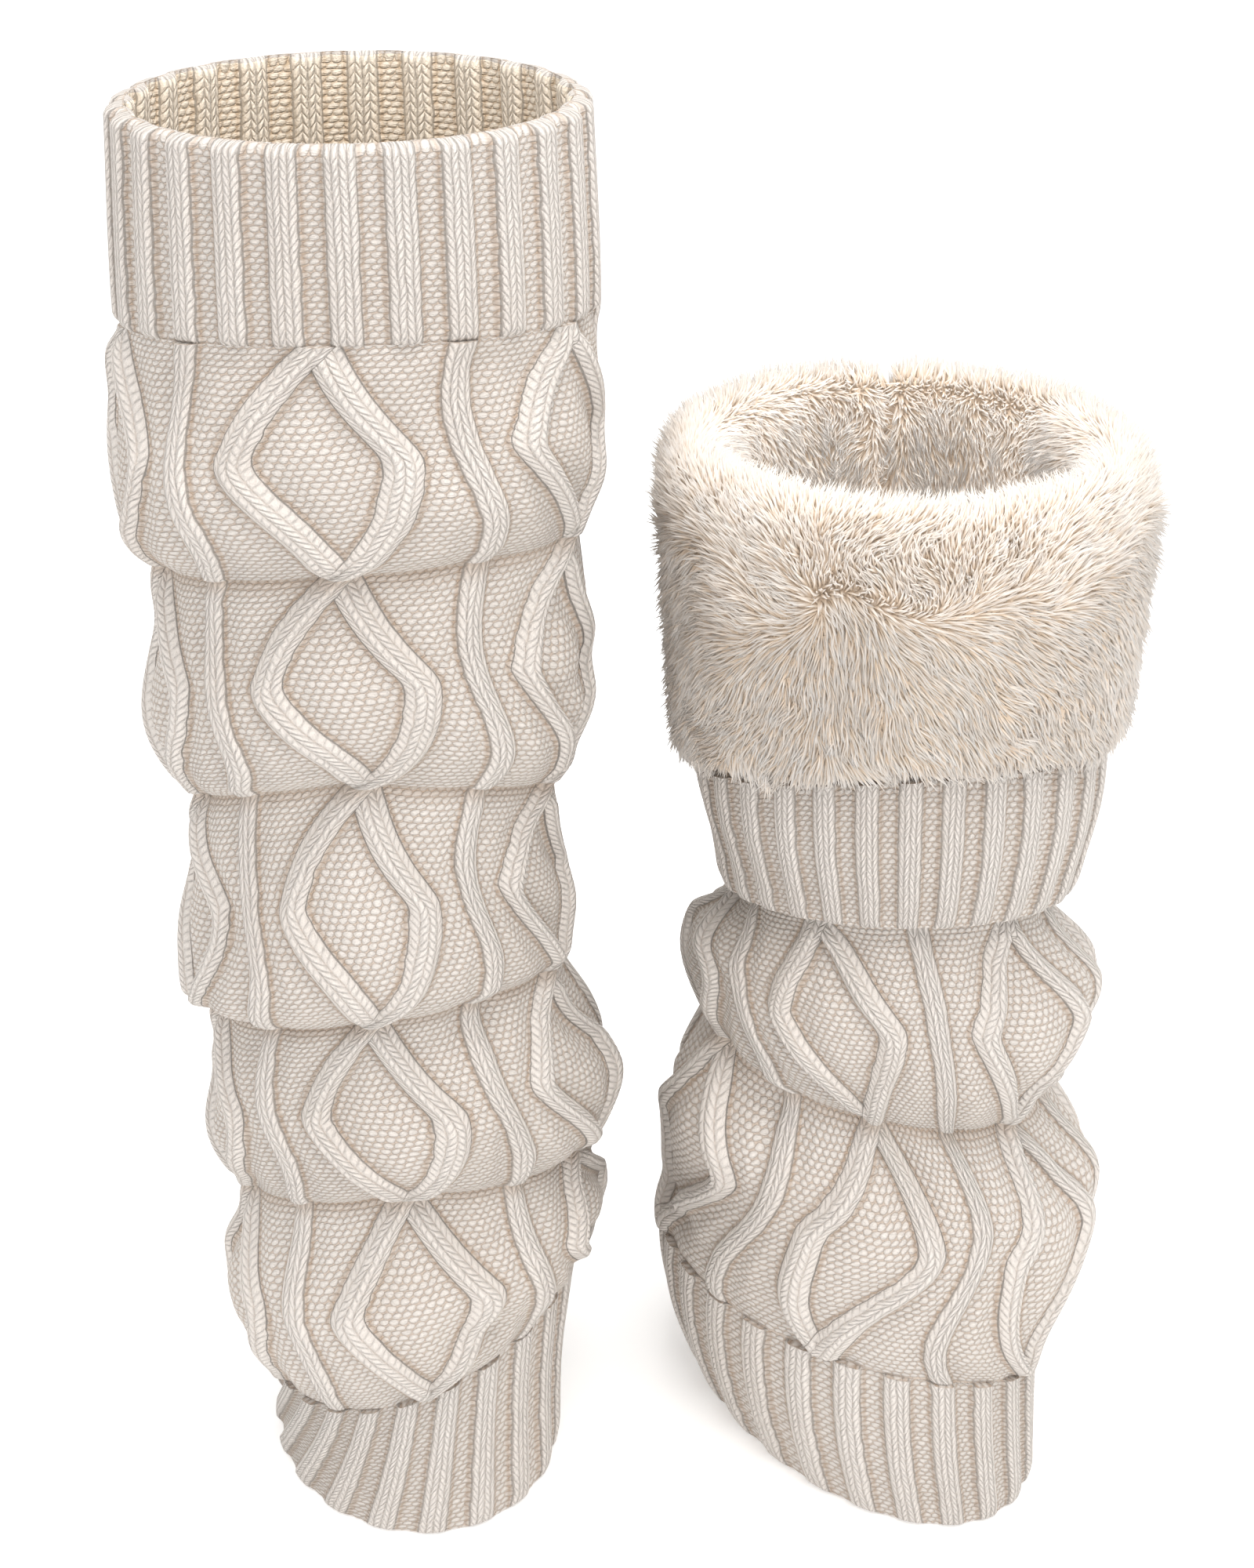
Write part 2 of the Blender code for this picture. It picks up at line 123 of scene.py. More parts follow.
def knit_tube(rings, creases, folds, tucks, pattern, along, offset, swell_share):
    """Points of the folded tube: pattern angle in degrees, along in folds, offset outwards."""
    creases = np.array(creases)
    folds = np.array(folds)
    fold = np.clip(np.floor(along).astype(int), 0, len(folds) - 1)
    share = along - fold
    inside = np.clip(share, 0, 1)
    upper = creases[fold]
    lower = creases[fold + 1]
    mixed = upper + (lower - upper) * share[..., None]
    gather = np.degrees(mixed[..., 5]) * np.sin(np.radians(pattern - mixed[..., 6]))
    sway = folds[fold][..., 6] * np.sin(2 * np.pi * share)
    angle = np.radians(pattern + mixed[..., 4] - gather - sway)
    top = around(upper[..., :4], angle)
    bottom = around(lower[..., :4], angle)
    droop = folds[fold][..., 5]
    height = top + (bottom - top) * (share + droop * np.sin(np.pi * inside) * inside)
    crest = folds[fold][..., 4]
    rise = np.sin(np.pi / 2 * np.minimum(inside / crest, 1) ** FOLD_RISE)
    fall = np.cos(np.pi / 2 * np.maximum((inside - crest) / (1 - crest), 0))
    arch = np.where(inside < crest, rise, fall)
    swell = np.maximum(around(folds[fold][..., :4], angle), 0) * arch
    push = offset + swell * swell_share
    for place, level, half_width, half_height, depth in tucks:
        turn = np.abs((np.degrees(angle) - place + 180) % 360 - 180)
        reach = np.radians(turn) * 0.05 / half_width
        push = push - depth * swell_share * np.exp(-reach**2 - ((height - level) / half_height) ** 2)
    x, y = oval_point(ring_at(rings, height), angle, push)
    return np.stack([x, y, height], axis=-1)


def soft_step(value, low, high):
    """0 below low and 1 above high, with an even turn between them."""
    t = np.clip((value - low) / (high - low), 0, 1)
    return t * t * (3 - 2 * t)


def rib_relief(pattern, along):
    """1 on a rib and 0 in the purl gutter beside it, with rounded flanks."""
    pitch = 360 / RIB_COUNT
    from_rib = np.abs((pattern - RIB_SHIFT + pitch / 2) % pitch - pitch / 2) / (pitch / 4)
    return (1 - soft_step(from_rib, 0.74, 1.50)) * (1 - 0.12 * np.minimum(from_rib, 1) ** 2)


def loop_of_rows(name, points, stitch_rows, along, columns):
    """Closed wall from rows of points, the last joined to the first, with its stitches as UVs.
    The map named stitches counts stitches and rows, the map named pattern holds degrees and folds."""
    count = len(points)
    row = np.arange(count)[:, None]
    column = np.arange(columns)[None, :]
    below = (row + 1) % count
    beside = (column + 1) % columns
    corners = np.stack([row * columns + column, below * columns + column,
                        below * columns + beside, row * columns + beside], axis=-1).reshape(-1, 4)
    mesh = bpy.data.meshes.new(name)
    mesh.from_pydata(points.reshape(-1, 3).tolist(), [], corners.tolist())
    degrees = np.arange(columns + 1) * 360.0 / columns
    row_at = np.append(np.arange(count), count)
    rows = row + 0 * column
    lanes = column + 0 * row
    row_of_corner = row_at[np.stack([rows, rows + 1, rows + 1, rows], -1).reshape(-1)]
    column_of_corner = np.stack([lanes, lanes, lanes + 1, lanes + 1], -1).reshape(-1)
    for map_name, across, down in (
            ("stitches", degrees * STITCHES_ROUND / 360, stitch_rows), ("pattern", degrees, along)):
        flat = np.stack([across[column_of_corner], np.asarray(down)[row_of_corner]], axis=-1)
        mesh.uv_layers.new(name=map_name).uv.foreach_set("vector", flat.astype(np.float32).reshape(-1))
    mesh.shade_smooth()
    mesh.set_sharp_from_angle(angle=SHARP_CORNER)
    obj = bpy.data.objects.new(name, mesh)
    bpy.context.scene.collection.objects.link(obj)
    return obj


def knit_band(name, rings, creases, folds, tucks, relief, rows, columns):
    """One knitted piece. Each row is along, offset, share of relief, share of swell, stitch row."""
    table = np.array(rows, float)
    pattern = np.tile(np.arange(columns) * 360.0 / columns, (len(table), 1))
    along, offset, relief_share, swell_share, _ = (table[:, i][:, None] + 0 * pattern for i in range(5))
    lift = relief_share * relief(pattern, along)
    points = knit_tube(rings, creases, folds, tucks, pattern, along, offset + lift, swell_share)
    ends = np.append(table[:, 4], 0.0)
    levels = np.append(table[:, 0], table[0, 0])
    return loop_of_rows(name, points, ends, levels, columns)


def cuff_rows(height, wall, rows, inner_rows, lift, top_round, bottom_round, inside_ribs):
    """Rows of a ribbed band: top edge, outside downwards, bottom edge, inside upwards."""
    table = []
    half = wall / 2
    edge = half / height
    for turn in (0, 30, 60) if top_round else ():
        a = math.radians(turn)
        table.append((edge - edge * math.cos(a), -half + half * math.sin(a), lift * math.sin(a), 1,
                      0.4 * turn / 90))
    start = edge if top_round else 0.0
    stop = 1 - edge * 0.8 if bottom_round else 1.0
    count = int(height * (stop - start) / 0.0011)
    for number in range(count + 1):
        part = number / count
        along = start + (stop - start) * part
        fade = 1 - 0.75 * max(0.0, (along - 0.955) / 0.045) ** 2
        if bottom_round:
            fade = 1 - 0.70 * max(0.0, (along - 0.84) / 0.16) ** 2
        table.append((along, 0.0, lift * fade, 1, 0.4 + (rows - 0.8) * part))
    if bottom_round:
        for turn in (35, 70, 110, 145):
            a = math.radians(turn)
            table.append((stop + edge * 0.8 * math.sin(a), -half + half * math.cos(a),
                          lift * 0.15 * (1 + math.cos(a)), 1, rows - 0.4 + 0.3 * turn / 145))
    inner_lift = lift if inside_ribs else 0.0
    for number in range(inner_rows + 1):
        part = number / inner_rows
        along = stop + (start - stop) * part
        table.append((along, -wall, inner_lift, 1, -rows + 0.4 + (rows - 0.8) * part))
    for turn in (60, 30) if top_round else ():
        a = math.radians(turn)
        table.append((edge - edge * math.cos(a), -half - half * math.sin(a), inner_lift * math.sin(a), 1,
                      -0.4 * turn / 90))
    return table


class Value:
    """A number on a node's socket, so that maths on it is written as Python."""

    def __init__(self, recipe, socket):
        self.recipe = recipe
        self.socket = socket

    def math(self, operation, *others):
        return self.recipe.node("ShaderNodeMath", {"operation": operation}, (self,) + others)

    def __add__(self, other):
        return self.math("ADD", other)

    def __sub__(self, other):
        return self.math("SUBTRACT", other)

    def __rsub__(self, other):
        return self.recipe.node("ShaderNodeMath", {"operation": "SUBTRACT"}, (other, self))

    def __mul__(self, other):
        return self.math("MULTIPLY", other)

    def __truediv__(self, other):
        return self.math("DIVIDE", other)

    def __pow__(self, other):
        return self.math("POWER", other)

    def __lt__(self, other):
        return self.math("LESS_THAN", other)

    def __gt__(self, other):
        return self.math("GREATER_THAN", other)

    def __mod__(self, other):
        return self.math("FLOORED_MODULO", other)

    __radd__ = __add__
    __rmul__ = __mul__

    def size(self):
        return self.math("ABSOLUTE")

    def whole(self):
        return self.math("FLOOR")

    def part(self):
        return self.math("FRACT")

    def between(self, low, high):
        return self.recipe.node("ShaderNodeMapRange", {"interpolation_type": "SMOOTHSTEP"},
                                {"Value": self, "From Min": low, "From Max": high})


class Recipe:
    """A node tree in the making, where one method adds any node."""

    def __init__(self, tree):
        self.tree = tree

    def node(self, kind, settings=None, inputs=(), output=0):
        made = self.tree.nodes.new(kind)
        for name, setting in (settings or {}).items():
            setattr(made, name, setting)
        for key, value in inputs.items() if isinstance(inputs, dict) else enumerate(inputs):
            if isinstance(value, Value):
                self.tree.links.new(value.socket, made.inputs[key])
            else:
                made.inputs[key].default_value = value
        return Value(self, made.outputs[output])

    def blend(self, amount, first, second):
        return self.node("ShaderNodeMix", {"data_type": "RGBA"}, {0: amount, 6: first, 7: second}, 2)

    def stitch_map(self, name):
        flat = self.node("ShaderNodeUVMap", {"uv_map": name})
        return (self.node("ShaderNodeSeparateXYZ", None, (flat,)),
                self.node("ShaderNodeSeparateXYZ", None, (flat,), 1))

    def fine_noise(self, scale, detail, place=None, roughness=0.5):
        if place is None:
            place = self.node("ShaderNodeTexCoord", None, (), "Object")
        settings = {"noise_dimensions": "3D"}
        inputs = {"Vector": place, "Scale": scale, "Detail": detail, "Roughness": roughness}
        return self.node("ShaderNodeTexNoise", settings, inputs)


def purl_bumps(across, rows):
    """Height of the rice-grain bumps of purl stitches, set like bricks."""
    odd = (rows * 2).whole() % 2
    x = (across + odd * 0.5).part() - 0.5
    y = (rows * 2).part() - 0.5
    y = y + x * 0.22 + (x * x - 0.06) * (0.9 - odd * 1.8) * 0.5
    inside = 1 - x * x * 3.5 - y * y * 3.7
    return inside.math("MAXIMUM", 0.0) ** 0.75


def knit_cords(legs, rows, joint):
    """Height of the upright legs of knit stitches, a pair of legs to each stitch."""
    side = (legs.whole() % 2) * 2 - 1
    x = legs.part() - 0.5
    y = ((rows + x * side * 0.85).part() - 0.5).size() * 2
    round_cord = (1 - x * x * 3.7).math("MAXIMUM", 0.0) ** 0.8
    return round_cord * (1 - (y ** 3) * joint)


def knit_material(name, zones):
    """Cream yarn. zones gives, for one piece, where knit cords lie, their count and the shadow."""
    material = bpy.data.materials.new(name)
    material.use_nodes = True
    recipe = Recipe(material.node_tree)
    shader = material.node_tree.nodes["Principled BSDF"]
    across, rows = recipe.stitch_map("stitches")
    wobble = recipe.fine_noise(210.0, 1.0)
    across = across + (wobble - 0.5) * 0.26
    rows = rows + (wobble - 0.5) * 0.26
    cord_mask, legs, shadow, joint, pace = zones(recipe, across, rows)
    cords = knit_cords(legs, rows * pace, joint)
    grains = purl_bumps(across * 1.32, rows)
    height = grains * 0.86 + (cords * 1.15 - grains * 0.86) * cord_mask
    place = recipe.node("ShaderNodeTexCoord", None, (), "Object")
    fibres = recipe.fine_noise(2300.0, 2.0, place, 0.65)
    along_cord = (rows * 2.2 - legs * 0.8) - (across * 2.6 + rows * 1.5)
    over_cord = (legs * 3.6 + rows * 2.4) - rows * 13
    plies = recipe.node("ShaderNodeCombineXYZ", None, (across * 2.6 + rows * 1.5 + along_cord * cord_mask,
                                                       rows * 13 + over_cord * cord_mask, 0.0))
    plies = recipe.fine_noise(1.0, 1.0, plies)
    relief = height + fibres * 0.34 + plies * 0.50
    bump = recipe.node("ShaderNodeBump", None, {"Strength": 1.0, "Distance": STITCH_DEPTH, "Height": relief})
    cloud = recipe.fine_noise(26.0, 2.0, place)
    # Painted shade: tone follows the stitch height, so hollows and the purl ground go towards the groove
    # colour and raised cords go towards the lit colour. Cloud and fibres are the yarn's own random tone, and
    # shadow darkens the knit beside the cords and under the fold ridges.
    tone = height.between(0.0, 0.62) * (0.50 - cord_mask * 0.22) + 0.50 + cord_mask * 0.20
    tone = tone * (0.88 + cloud * 0.24) * (0.92 + fibres * 0.16)
    tone = tone * (1 - shadow * 0.65)
    # Rows below zero are the inside wall, which takes the brighter inside colours as painted light.
    inside = rows < -0.2
    lit = recipe.blend(inside, YARN_LIT, YARN_INSIDE_PAINTED_LIGHT)
    painted_groove_shade = recipe.blend(inside, YARN_PAINTED_GROOVE_SHADE, YARN_INSIDE_GROOVE_LIGHT_AND_SHADE)
    colour = recipe.blend(tone.math("MINIMUM", 1.0), painted_groove_shade, lit)
    material.node_tree.links.new(colour.socket, shader.inputs["Base Color"])
    material.node_tree.links.new(bump.socket, shader.inputs["Normal"])
    shader.inputs["Roughness"].default_value = 0.92
    shader.inputs["Specular IOR Level"].default_value = 0.25
    shader.inputs["Sheen Weight"].default_value = 0.25
    shader.inputs["Sheen Roughness"].default_value = 0.5
    shader.inputs["Sheen Tint"].default_value = (1.0, 0.97, 0.92, 1.0)
    return material


def rib_zones(recipe, across, rows):
    turned = (rows < 0.0) * 2
    place = (across + turned - RIB_SHIFT * STITCHES_ROUND / 360 + 2) % 4 - 2
    cord_mask = 1 - place.size().between(1.02, 1.14)
    shadow = (1 - (place.size() - 1.30).size().between(0.0, 0.30)) * 0.7
    return cord_mask, place * 1.9, shadow, 0.5, 1.4


def finish_knit(obj, material, node):
    obj.data.materials.append(material)
    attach(obj, "root")
    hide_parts(node)


cuff_yarn = knit_material("cream_rib_yarn", rib_zones)
top_cuff_rows = cuff_rows(0.0500, TOP_CUFF_WALL, TOP_CUFF_ROWS, 40, RIB_LIFT, True, False, True)
left_top_cuff = knit_band("left_top_cuff_knit", LEFT_RINGS, (LEFT_RIM, LEFT_CUFF_EDGE), NO_FOLD, (),
                          rib_relief, top_cuff_rows, CUFF_COLUMNS)
finish_knit(left_top_cuff, cuff_yarn, "left_top_cuff")

# Left leg
# The main tube, knitted on from the cuff: purl ground with five columns of raised diamonds whose
# cable bands cross over and under, and a plain three-stitch rib between the columns. It is
# pushed down a little, so it lies in five soft folds that pinch in at the crossings.
LEG_WALL = 0.0032
CABLE_LIFT = 0.0036
CABLE_WIDE = 21.0
CABLE_HALF = 5.0
CABLE_WIDEST_AT = 0.44
HALF_REPEAT = 36.0
CORNER_ROUNDING = 0.07
PLAIN_RIB_HALF = 3.8
LEG_COLUMNS = 360
ROWS_A_DIAMOND = 20
INNER_SWELL = 0.55

LEFT_CREASES = (
    LEFT_CUFF_EDGE,
    (-0.0760, -0.0810, -0.0850, -0.0900, -1.6, 0.00, 0.0),
    (-0.1330, -0.1540, -0.1510, -0.1570, 1.4, 0.00, 0.0),
    (-0.2040, -0.2090, -0.2150, -0.2220, -0.6, 0.00, 0.0),
    (-0.2590, -0.2730, -0.2690, -0.2815, 5.0, 0.00, 0.0),
    (-0.3310, -0.3120, -0.3230, -0.3470, 8.3, -0.05, 0.0),
)
# swell front, right, back, left, then share of the fold at its crest, droop and sway in degrees
LEFT_FOLDS = (
    (0.0050, 0.0028, 0.0060, 0.0066, 0.64, 0.12, 3.0),
    (0.0062, 0.0052, 0.0070, 0.0092, 0.63, 0.12, 4.0),
    (0.0072, 0.0028, 0.0080, 0.0100, 0.76, 0.12, 4.0),
    (0.0075, 0.0104, 0.0080, 0.0052, 0.60, 0.12, 3.0),
    (0.0085, 0.0076, 0.0090, 0.0080, 0.45, 0.12, 2.0),
)
# angle in degrees, height, half width, half height, depth
LEFT_TUCKS = (
    (34.0, -0.2090, 0.012, 0.006, 0.0035),
    (38.0, -0.2450, 0.010, 0.010, 0.0030),
    (28.0, -0.3050, 0.012, 0.007, 0.0030),
    (-70.0, -0.2520, 0.016, 0.006, 0.0025),
    (75.0, -0.1200, 0.014, 0.006, 0.0025),
    (160.0, -0.1800, 0.016, 0.007, 0.0030),
    (-150.0, -0.2450, 0.015, 0.007, 0.0030),
)


def cable_relief(first_fold, last_fold):
    """Height of the cables, plain ribs and pillowed ground over the leg, in metres."""
    def relief(pattern, along):
        fold = np.clip(np.floor(along), first_fold, last_fold - 1)
        share = along - fold
        signed = (pattern + HALF_REPEAT) % (2 * HALF_REPEAT) - HALF_REPEAT
        opening = np.minimum(share / CABLE_WIDEST_AT, (1 - share) / (1 - CABLE_WIDEST_AT))
        opening = 1 - np.sqrt((1 - opening) ** 2 + CORNER_ROUNDING**2)
        spread = CABLE_WIDE * opening
        over_top = np.where(fold > first_fold, soft_step(share, 0.02, 0.13), 1.0)
        over_bottom = np.where(fold < last_fold - 1, soft_step(1 - share, 0.02, 0.13), 1.0)
        height = np.zeros_like(pattern)
        near = np.full_like(pattern, 9.0)
        for side, under in ((1, over_top), (-1, over_bottom)):
            across = np.abs(signed - side * spread) / CABLE_HALF
            band = (1 - soft_step(across, 0.25, 1.28)) * (1 - 0.20 * np.minimum(across, 1) ** 2)
            height = np.maximum(height, CABLE_LIFT * band * (0.35 + 0.65 * under))
            near = np.minimum(near, across)
        from_rib = (HALF_REPEAT - np.abs(signed)) / PLAIN_RIB_HALF
        rib = RIB_LIFT * (1 - soft_step(from_rib, 0.45, 1.40)) * (1 - 0.12 * np.minimum(from_rib, 1) ** 2)
        ground = 0.0007 * soft_step(np.minimum(near, from_rib), 1.3, 3.2) - 0.0003
        uneven = 0.00045 * (np.sin(np.radians(pattern * 5) + 9.0 * along)
                            + np.sin(np.radians(pattern * 7) - 13.0 * along))
        uneven_ridge = np.maximum(0.0, 0.35 + 0.65 * np.sin(np.radians(pattern * 3) + 2.4 * fold + 0.6))
        slant = 0.0014 * np.sin(np.radians(pattern * 4) + 5.2 * along + 1.0) * np.sin(np.pi * share)
        ridge = 0.0014 * np.exp(-((share - 0.89) / 0.065) ** 2) * (fold < last_fold - 1) * uneven_ridge
        crease = 0.0010 * np.exp(-(share / 0.05) ** 2) * (fold > first_fold) * (0.4 + 0.6 * uneven_ridge)
        puff = 0.0009 * np.sin(np.pi * share) * soft_step(np.minimum(near, from_rib), 1.2, 3.0)
        joint = np.exp(-(along / 0.06) ** 2) * (first_fold == 0)
        height = height * (1 - 0.65 * joint)
        soft = ground + uneven + ridge - crease + puff + slant
        return np.maximum(height, rib) + soft * (1 - joint) + 0.0003 * joint
    return relief


def leg_rows(folds, rows_a_fold, plain_folds, inner_a_fold):
    """Rows of a leg: the outside downwards, then the inside upwards."""
    table = []
    for fold in range(folds):
        plain = fold < plain_folds
        count = 14 if plain else rows_a_fold[fold]
        first = 0.0 if plain or fold == plain_folds and plain_folds else 1.0
        for number in range(count):
            along = fold + number / count
            share = 0.0 if plain else min(1.0, first + number / 4)
            table.append((along, 0.0, share, 1.0, ROWS_A_DIAMOND * along + 0.3))
    table.append((folds, 0.0, 0.7, 1.0, ROWS_A_DIAMOND * folds))
    count = folds * inner_a_fold
    for number in range(count + 1):
        along = folds * (1 - number / count)
        table.append((along, -LEG_WALL, 0.0, INNER_SWELL, -ROWS_A_DIAMOND * along - 0.3))
    return table


def cable_zones(folds, plain_folds):
    def zones(recipe, across, rows):
        degrees = across * (360 / STITCHES_ROUND)
        along = rows / ROWS_A_DIAMOND
        share = along.part()
        opening = (share / CABLE_WIDEST_AT).math("MINIMUM", (1 - share) / (1 - CABLE_WIDEST_AT))
        opening = 1 - ((1 - opening) ** 2 + CORNER_ROUNDING**2) ** 0.5
        spread = opening * CABLE_WIDE
        signed = (degrees + HALF_REPEAT) % (2 * HALF_REPEAT) - HALF_REPEAT
        lower_half = (share > 0.5) * 2 - 1
        over = (signed - spread * lower_half) / CABLE_HALF
        under = (signed + spread * lower_half) / CABLE_HALF
        on_over = over.size() < 1.0
        place = under + (over - under) * on_over
        from_band = place.size().math("MINIMUM", over.size())
        from_rib = (HALF_REPEAT - signed.size()) / PLAIN_RIB_HALF
        on_band = 1 - place.size().between(0.94, 1.04)
        on_rib = 1 - from_rib.between(0.94, 1.06)
        outside = (rows > 0.0) * (rows > ROWS_A_DIAMOND * plain_folds)
        rib_legs = ((degrees % (2 * HALF_REPEAT)) - HALF_REPEAT) / PLAIN_RIB_HALF * 2
        legs = rib_legs + (place * 2 - rib_legs) * on_band
        cord_mask = on_band.math("MAXIMUM", on_rib) * outside
        nearest = from_band.math("MINIMUM", from_rib)
        # Painted shade beside the cords and under each fold's ridge, gathered into shadow.
        beside = (1 - (nearest - 1.16).size().between(0.0, 0.30)) * 0.8
        below_first = rows > ROWS_A_DIAMOND * plain_folds + 2.0
        painted_shade_under_ridge = (1 - share.between(0.0, 0.10)) * (share > 0.004) * below_first * 0.75
        shadow = beside.math("MAXIMUM", painted_shade_under_ridge) * outside
        return cord_mask, legs, shadow, 0.55, on_band * 0.5 + 1.2
    return zones


left_leg_rows = leg_rows(5, (49, 48, 52, 46, 50), 0, 6)
left_leg = knit_band("left_leg_knit", LEFT_RINGS, LEFT_CREASES, LEFT_FOLDS, LEFT_TUCKS,
                     cable_relief(0, 5), left_leg_rows, LEG_COLUMNS)
leg_yarn = knit_material("cream_cable_yarn", cable_zones(5, 0))
finish_knit(left_leg, leg_yarn, "left_leg")

# Left hem cuff
# The ankle end returns to two-by-two rib, drawn in by the rib's own stretch and cast off in a
# thin rounded edge, which stands on the floor.
HEM_CUFF_WALL = 0.0034
HEM_CUFF_ROWS = 17
LEFT_HEM = (-0.3800, -0.3800, -0.3800, -0.3800, -4.0, -0.45, 0.0)

hem_rows = cuff_rows(0.0530, HEM_CUFF_WALL, HEM_CUFF_ROWS, 16, RIB_LIFT, False, True, False)
left_hem_cuff = knit_band("left_hem_cuff_knit", LEFT_RINGS, (LEFT_CREASES[-1], LEFT_HEM), NO_FOLD, (),
                          rib_relief, hem_rows, CUFF_COLUMNS)
finish_knit(left_hem_cuff, cuff_yarn, "left_hem_cuff")

# Right leg
# The second tube is the same knit. Its upper part is hidden under the turned-down top, and the
# rest slumps over a wider ankle, so the diamonds are squeezed and sheared.
RIGHT_RINGS = (
    (-0.0600, 0.1360, 0.0150, 0.0495, 0.0495, 0.0),
    (-0.0840, 0.1366, 0.0150, 0.0495, 0.0495, 0.0),
    (-0.1300, 0.1383, 0.0150, 0.0492, 0.0492, 0.0),
    (-0.1620, 0.1393, 0.0150, 0.0484, 0.0484, 0.0),
    (-0.1790, 0.1396, 0.0150, 0.0448, 0.0448, 0.0),
    (-0.1900, 0.1396, 0.0150, 0.0426, 0.0426, 0.0),
    (-0.2060, 0.1392, 0.0150, 0.0412, 0.0412, 2.0),
    (-0.2220, 0.1380, 0.0150, 0.0450, 0.0440, 5.0),
    (-0.2450, 0.1350, 0.0155, 0.0480, 0.0472, 12.0),
    (-0.2850, 0.1384, 0.0170, 0.0490, 0.0560, 27.0),
    (-0.3230, 0.1312, 0.0185, 0.0474, 0.0660, 33.0),
    (-0.3500, 0.1320, 0.0200, 0.0446, 0.0684, 33.0),
    (-0.3800, 0.1372, 0.0215, 0.0406, 0.0674, 31.0),
)
RIGHT_CREASES = (
    (-0.0840, -0.0840, -0.0840, -0.0840, -38.6, 0.20, 36.0),
    (-0.1850, -0.1970, -0.2080, -0.1970, -34.0, 0.00, 36.0),
    (-0.2450, -0.2560, -0.2450, -0.2330, -14.5, 0.33, 36.0),
    (-0.3220, -0.3400, -0.3290, -0.3230, -20.0, 0.00, 36.0),
)
RIGHT_FOLDS = (
    (0.0000, 0.0000, 0.0000, 0.0000, 0.50, 0.00, 0.0),
    (0.0100, 0.0146, 0.0105, 0.0126, 0.34, 0.10, 0.0),
    (0.0060, 0.0116, 0.0080, 0.0088, 0.34, 0.10, -5.0),
)
RIGHT_TUCKS = (
    (8.0, -0.2620, 0.010, 0.018, 0.0060),
    (-38.0, -0.2440, 0.018, 0.006, 0.0030),
    (-80.0, -0.3070, 0.018, 0.005, 0.0030),
    (84.0, -0.3150, 0.022, 0.012, 0.0055),
    (62.0, -0.2750, 0.010, 0.008, 0.0030),
    (170.0, -0.2800, 0.018, 0.007, 0.0035),
)
right_leg_rows = leg_rows(3, (0, 54, 76), 1, 8)
right_leg = knit_band("right_leg_knit", RIGHT_RINGS, RIGHT_CREASES, RIGHT_FOLDS, RIGHT_TUCKS,
                      cable_relief(1, 3), right_leg_rows, LEG_COLUMNS)
slumped_yarn = knit_material("cream_slumped_yarn", cable_zones(3, 1))
finish_knit(right_leg, slumped_yarn, "right_leg")

# Right top cuff
# The ribbed top of the second one, turned down over the leg, so its edge points to the floor
# and grips the leg under the fleece.
TURNED_WALL = 0.0029
TURNED_ROWS = 15
CUFF_RINGS = (
    (-0.1300, 0.1383, 0.0150, 0.0536, 0.0536, 0.0),
    (-0.1620, 0.1393, 0.0150, 0.0530, 0.0530, 0.0),
    (-0.1790, 0.1400, 0.0150, 0.0494, 0.0494, 0.0),
    (-0.1940, 0.1398, 0.0150, 0.0470, 0.0470, 0.0),
    (-0.2100, 0.1394, 0.0150, 0.0456, 0.0456, 0.0),
)
CUFF_TOP = (-0.1364, -0.1494, -0.1584, -0.1564, -38.6, 0.20, 36.0)
CUFF_EDGE = (-0.1825, -0.1945, -0.2055, -0.1945, -38.6, 0.22, 36.0)
turned_rows = cuff_rows(0.0460, TURNED_WALL, TURNED_ROWS, 14, RIB_LIFT, False, True, False)
right_top_cuff = knit_band("right_top_cuff_knit", CUFF_RINGS, (CUFF_TOP, CUFF_EDGE), NO_FOLD, (),
                           rib_relief, turned_rows, CUFF_COLUMNS)
finish_knit(right_top_cuff, cuff_yarn, "right_top_cuff")

# Right hem cuff
# The same rib as the first ankle cuff, spread wide where the leg slumps on the floor.
RIGHT_HEM = (-0.3800, -0.3800, -0.3800, -0.3800, -21.5, -0.06, 36.0)
right_hem_cuff = knit_band("right_hem_cuff_knit", RIGHT_RINGS, (RIGHT_CREASES[-1], RIGHT_HEM), NO_FOLD, (),
                           rib_relief, hem_rows, CUFF_COLUMNS)
finish_knit(right_hem_cuff, cuff_yarn, "right_hem_cuff")

# Right fleece
# The lining is a tube of deep pile sherpa fleece with one seam at the back. It comes up inside
# the leg, rolls over the top and hangs outside, and its pile parts along the seam.
FLEECE_COLUMNS = 168
FLEECE_EDGE = (-0.1360, -0.1490, -0.1580, -0.1560)
BACKING_STEP = 0.0024
HIDDEN_STEP = 0.012
OUTSIDE_FROM = 0.0540
FLEECE_MIDDLE = (0.1375, 0.0150)
PILE_TOP = -0.066
BARE_SEAM = 2.3
SWIRLS_A_METRE = 44.0
TUFTS_A_METRE = 165.0
SPLIT_WIDTH = 3.4
SPLIT_DEPTH = 0.0045
LOCK_LENGTH = 0.0068
LOCK_WIDTH = 0.00052
LOCK_SPACING = 0.00052
FLOW_SEED = 3
# The tip colour is the fleece's cream. The body and root colours darken and warm it towards the root as
# painted shade deep in the pile.
FLEECE_TIP = (0.900, 0.865, 0.830, 1.0)
FLEECE_BODY = (0.810, 0.720, 0.635, 1.0)
FLEECE_ROOT_PAINTED_SHADE = (0.700, 0.560, 0.430, 1.0)
# The fleece glows in its own colour. This is painted light that stands in for light carried through the
# pile.
FLEECE_PAINTED_GLOW = 0.08

